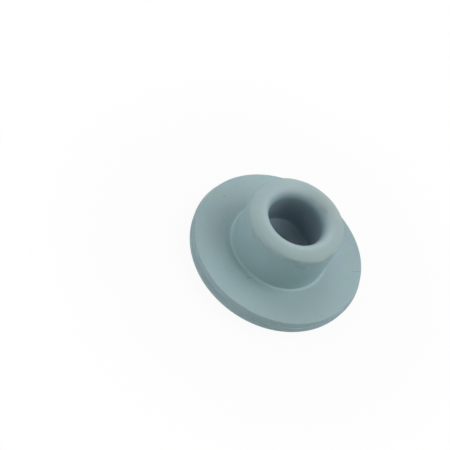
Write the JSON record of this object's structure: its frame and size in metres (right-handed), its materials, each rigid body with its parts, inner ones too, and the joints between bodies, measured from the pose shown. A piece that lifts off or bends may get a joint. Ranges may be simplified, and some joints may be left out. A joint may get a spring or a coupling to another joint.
{
  "type": "rubber stopper",
  "caption": "Flanged rubber stopper with a short hollow plug that presses into the neck of a small glass vial.",
  "frame": {"origin": "centre of the flat outer face, on which the stopper stands", "axes": "+Z along the stopper's axis, from the outer face to the lip of the plug. X and Y lie in the outer face in any direction, because the stopper is round."},
  "size_m": [0.013, 0.013, 0.0054],
  "materials": {
    "rubber": "matte"
  },
  "bodies": {
    "root": {"stopper": "rubber"}
  },
  "joints": []
}
